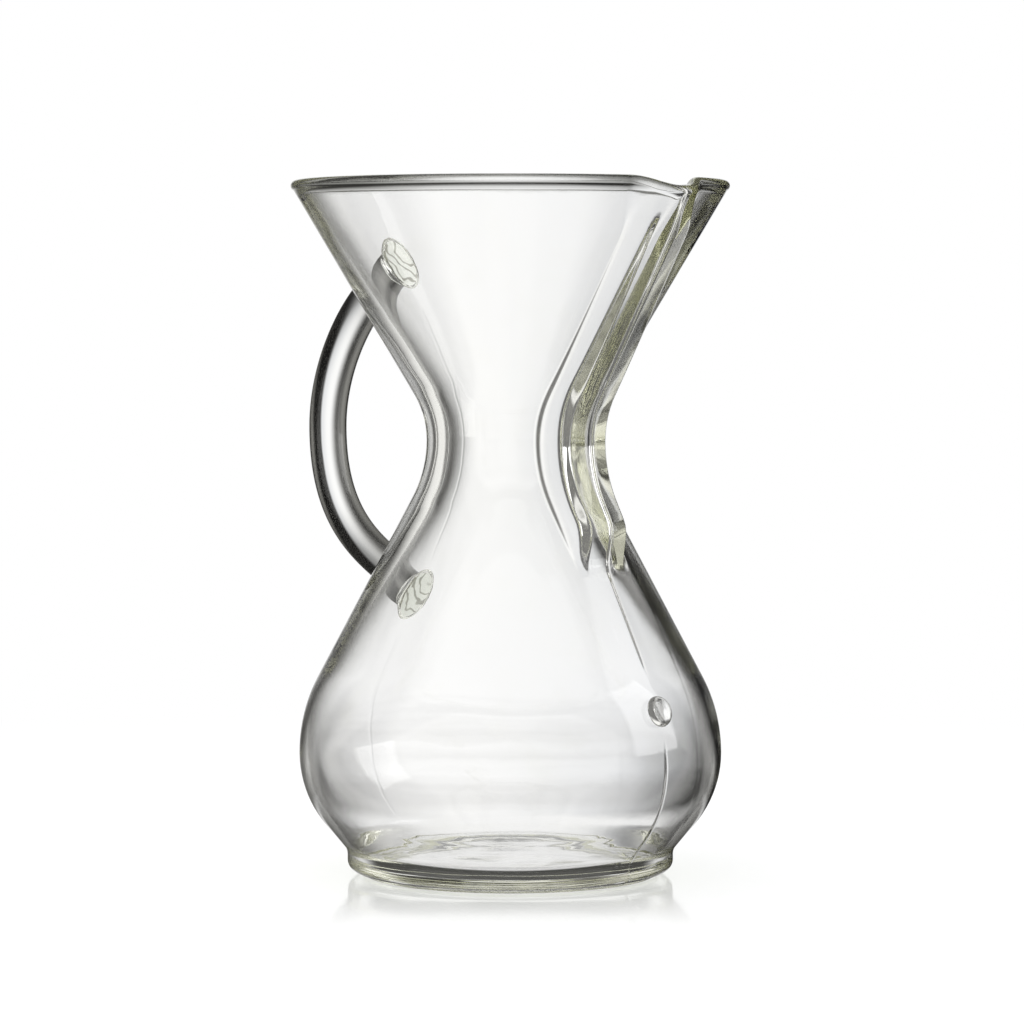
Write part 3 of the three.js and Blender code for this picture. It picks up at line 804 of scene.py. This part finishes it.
def bearing(recipe, place, straight, back=0):
    """Heading in degrees to the left of straight, as seen from a spot some way back from the object."""
    turn = radians(straight)
    ahead = recipe.dot(place, (cos(turn), sin(turn), 0)) + back
    aside = recipe.dot(place, (-sin(turn), cos(turn), 0))
    return recipe.node("ShaderNodeMath", {"operation": "ARCTAN2"}, {0: aside, 1: ahead}) * degrees(1)


def band(recipe, value, start, full, last, end):
    """1 between full and last, easing to 0 at start and end."""
    return recipe.ease(value, start, full) * (1 - recipe.ease(value, last, end))


def surroundings(recipe, place, studio, dark_sides, near=None):
    """The flags and walls, where the backdrop covers them, and its white.

    It goes by direction, or by place on the floor where near is 1 close to the object.
    dark_sides is 1 where the flags reach all round the sides.
    """
    heading = bearing(recipe, place, STRAIGHT)
    left = bearing(recipe, place, STRAIGHT, LEFT_BACK) if near else heading
    right = bearing(recipe, place, STRAIGHT, RIGHT_BACK) if near else heading
    covered = recipe.ease(right, *BACKDROP_RIGHT)
    if near:
        covered = covered + (recipe.ease(right, *NEAR_RIGHT) - covered) * near
    covered = covered * (1 - recipe.ease(left, *BACKDROP_LEFT))
    turn = bearing(recipe, place, STRAIGHT, FLAG_BACK) if near else heading
    far_sides = recipe.ease(turn * turn, *FAR_SIDES) * FAR_DARK
    flagged = band(recipe, turn, *FLAGS) | band(recipe, turn, *SIDE_FLAGS) * (dark_sides | far_sides)
    flags = recipe.mix(recipe.ease(turn, -5, 5), rgba(studio.dark), rgba(studio.grey))
    white = recipe.mix(recipe.ease(right, *BACKDROP_DIM), rgba(studio.dim), rgba((1, 1, 1)))
    return recipe.mix(flagged, rgba(studio.room), flags), covered, white


class COFFEE_OT_studio(Operator):
    """Set up the floor, the soft light, the backdrop with its flags and the camera"""
    bl_idname = "coffee.studio"
    bl_label = "Set up the studio"

    def execute(self, context):
        scene, studio = context.scene, context.scene.studio
        scene.view_settings.view_transform = "Standard"
        scene.cycles.max_bounces = 64
        scene.cycles.transmission_bounces = 64
        scene.cycles.glossy_bounces = 64
        scene.cycles.transparent_max_bounces = 32
        self.world(scene, studio)
        self.floor(context, studio)
        self.lamp(context, studio)
        self.camera(context)
        return {"FINISHED"}

    def world(self, scene, studio):
        """White for the camera, backdrop, flags and softbox for the glass, even light for the floor."""
        world = bpy.data.worlds.new("studio")
        scene.world = world
        recipe = Recipe(world)
        direction = recipe.node("ShaderNodeTexCoord", output="Generated")
        camera = recipe.node("ShaderNodeLightPath", output="Is Camera Ray")
        through = camera.other("Is Transmission Ray")
        glass = through | camera.other("Is Glossy Ray")
        rise = recipe.dot(direction, (0, 0, 1))
        above = recipe.ease(rise, *BACKDROP_TOP) * through
        mirrored = camera.other("Is Glossy Ray") * (1 - through)
        walls, covered, white = surroundings(recipe, direction, studio, mirrored)
        seen = recipe.mix(covered * (1 - above), walls, white)
        turn, half_width, lowest, highest, brightness = SOFTBOX
        edges = (-half_width - SOFTBOX_EDGE, -half_width, half_width, half_width + SOFTBOX_EDGE)
        box = band(recipe, bearing(recipe, direction, turn), *edges)
        low, high = SOFTBOX_ENDS
        box = box * band(recipe, rise, lowest - low, lowest + low, highest - high, highest + high)
        seen = recipe.mix(box, seen, rgba((1, 1, 1)))
        extra = box * (brightness - 1)
        colour = recipe.mix(glass, rgba((1, 1, 1)), seen)
        level = 1 - (1 - (camera | glass)) * (1 - studio.ambient) + extra * glass
        shader = recipe.node("ShaderNodeBackground", {}, {"Color": colour, "Strength": level})
        recipe.node("ShaderNodeOutputWorld", {}, {"Surface": shader})

    def floor(self, context, studio):
        """A pale floor that keeps the shadow near the object and turns into the studio's white far away."""
        work, mesh = new_mesh("floor")
        bmesh.ops.create_grid(work, x_segments=1, y_segments=1, size=FLOOR_REACH)
        bmesh.ops.translate(work, vec=(0, 0, -FLOOR_DROP), verts=work.verts)
        work.to_mesh(mesh)
        work.free()
        material = bpy.data.materials.new("pale_floor")
        recipe = Recipe(material)
        place = recipe.node("ShaderNodeTexCoord", output="Object")
        away = recipe.node("ShaderNodeVectorMath", {"operation": "LENGTH"}, {0: place}, "Value")
        camera = recipe.node("ShaderNodeLightPath", output="Is Camera Ray")
        through = camera.other("Is Transmission Ray")
        glass = through | camera.other("Is Glossy Ray")
        seen = self.floor_for_glass(recipe, studio, place, away, camera)
        matte = recipe.node("ShaderNodeBsdfDiffuse", {}, {"Color": rgba(studio.floor)})
        gloss = recipe.node("ShaderNodeBsdfGlossy", {}, {
            "Color": rgba((1, 1, 1)), "Roughness": GLOSS_ROUGHNESS})
        facing = recipe.node("ShaderNodeLayerWeight", {}, {"Blend": 0.5}, "Facing")
        glossy = (1 - recipe.ease(away, *GLOSS_FLOOR)) * recipe.ease(facing, *GLOSS_FACING)
        glossy = glossy * camera * FLOOR_GLOSS
        near = recipe.node("ShaderNodeMixShader", {}, {0: glossy, 1: matte, 2: gloss})
        far = recipe.node("ShaderNodeEmission", {}, {"Color": recipe.mix(glass, rgba((1, 1, 1)), seen)})
        share = recipe.ease(away, *NEAR_FLOOR) * camera | glass
        shader = recipe.node("ShaderNodeMixShader", {}, {0: share, 1: near, 2: far})
        recipe.node("ShaderNodeOutputMaterial", {}, {"Surface": shader})
        mesh.materials.append(material)
        floor = bpy.data.objects.new("floor", mesh)
        context.collection.objects.link(floor)

    def floor_for_glass(self, recipe, studio, place, away, camera):
        """What the glass sees of the floor: backdrop, flags, a bright table and shade in front of the foot."""
        through = camera.other("Is Transmission Ray")
        mirrored = camera.other("Is Glossy Ray") * (1 - through)
        ahead = recipe.dot(place, (cos(radians(STRAIGHT)), sin(radians(STRAIGHT)), 0))
        turn = bearing(recipe, place, STRAIGHT + 180, LEFT_BACK)
        behind = band(recipe, turn, *BEHIND_FLAGS) * (1 - band(recipe, turn, *BEHIND_BACKDROP)) * through
        behind = behind * (1 - recipe.ease(ahead, *BEHIND_START)) * BEHIND_SHARE
        spot = recipe.node("ShaderNodeMapping", {"vector_type": "TEXTURE"}, {
            "Vector": place, "Rotation": (0, 0, radians(STRAIGHT)), "Scale": STREAK_STRETCH})
        streaks = recipe.ease(recipe.clouds(spot, STREAK_SCALE, 3), *STREAK_EDGE)
        streaks = streaks * (1 - recipe.ease(away, *STREAK_FLOOR))
        near = 1 - recipe.ease(away, *NEAR_BACKDROP)
        sides = (1 - recipe.ease(away, *NEAR_SIDES)) * NEAR_DARK | mirrored
        walls, covered, white = surroundings(recipe, place, studio, sides, near)
        table = (1 - recipe.ease(away, *BRIGHT_TABLE)) * recipe.ease(ahead, *BRIGHT_START)
        table = table | 1 - recipe.ease(away, *FOOT_TABLE)
        ring = band(recipe, away, *FOOT_RING) * (1 - recipe.ease(ahead, *FOOT_RING_END))
        white = recipe.mix(streaks * STREAK_SHARE, white, rgba(studio.streak))
        seen = recipe.mix(behind, recipe.mix(covered, walls, white), rgba(studio.grey))
        seen = recipe.mix(table, seen, rgba(studio.table))
        return recipe.mix(ring, seen, rgba(studio.under))

    def lamp(self, context, studio):
        """One large soft lamp overhead, which the glass itself doesn't show."""
        light = bpy.data.lights.new("overhead", "AREA")
        light.size = 1.2
        light.energy = studio.lamp_power
        lamp = bpy.data.objects.new("overhead", light)
        lamp.location = (0, 0, 1.3)
        lamp.visible_camera = lamp.visible_glossy = lamp.visible_transmission = False
        context.collection.objects.link(lamp)

    def camera(self, context):
        """The photograph's view: a long lens a little below the rim."""
        lens = bpy.data.cameras.new("camera")
        lens.sensor_width = 36
        lens.lens = 137.67
        lens.shift_x = 0.00166
        turn, distance = radians(44.5), 1.22
        camera = bpy.data.objects.new("camera", lens)
        camera.location = (distance * sin(turn), -distance * cos(turn), 0.175)
        camera.rotation_euler = (radians(90 - 2.90956), 0, turn)
        context.collection.objects.link(camera)
        context.scene.camera = camera


class COFFEE_PT_maker(Panel):
    """Sizes and steps of the coffee maker"""
    bl_label = "Coffee maker"
    bl_idname = "COFFEE_PT_maker"
    bl_space_type = "VIEW_3D"
    bl_region_type = "UI"
    bl_category = "Coffee maker"

    def draw(self, context):
        for step in STEPS:
            self.layout.operator(step.bl_idname)
        for group in GROUPS:
            box = self.layout.box()
            for name in GROUPS[group].__annotations__:
                box.prop(getattr(context.scene, group), name)


STEPS = (COFFEE_OT_studio, COFFEE_OT_vessel, COFFEE_OT_handle, COFFEE_OT_pads, COFFEE_OT_button)
GROUPS = {
    "wall": WallSizes, "channel": ChannelSizes, "fused": FusedSizes, "glass": GlassLook, "studio": StudioLook,
}


def register():
    for kind in (*GROUPS.values(), *STEPS, COFFEE_PT_maker):
        bpy.utils.register_class(kind)
    for name, kind in GROUPS.items():
        setattr(bpy.types.Scene, name, PointerProperty(type=kind))


def unregister():
    for name in GROUPS:
        delattr(bpy.types.Scene, name)
    for kind in (COFFEE_PT_maker, *reversed(STEPS), *reversed(GROUPS.values())):
        bpy.utils.unregister_class(kind)


def main():
    register()
    bpy.ops.coffee.studio()
    bpy.ops.coffee.vessel()
    bpy.ops.coffee.handle()
    bpy.ops.coffee.pads()
    bpy.ops.coffee.button()


if __name__ == "__main__":
    main()
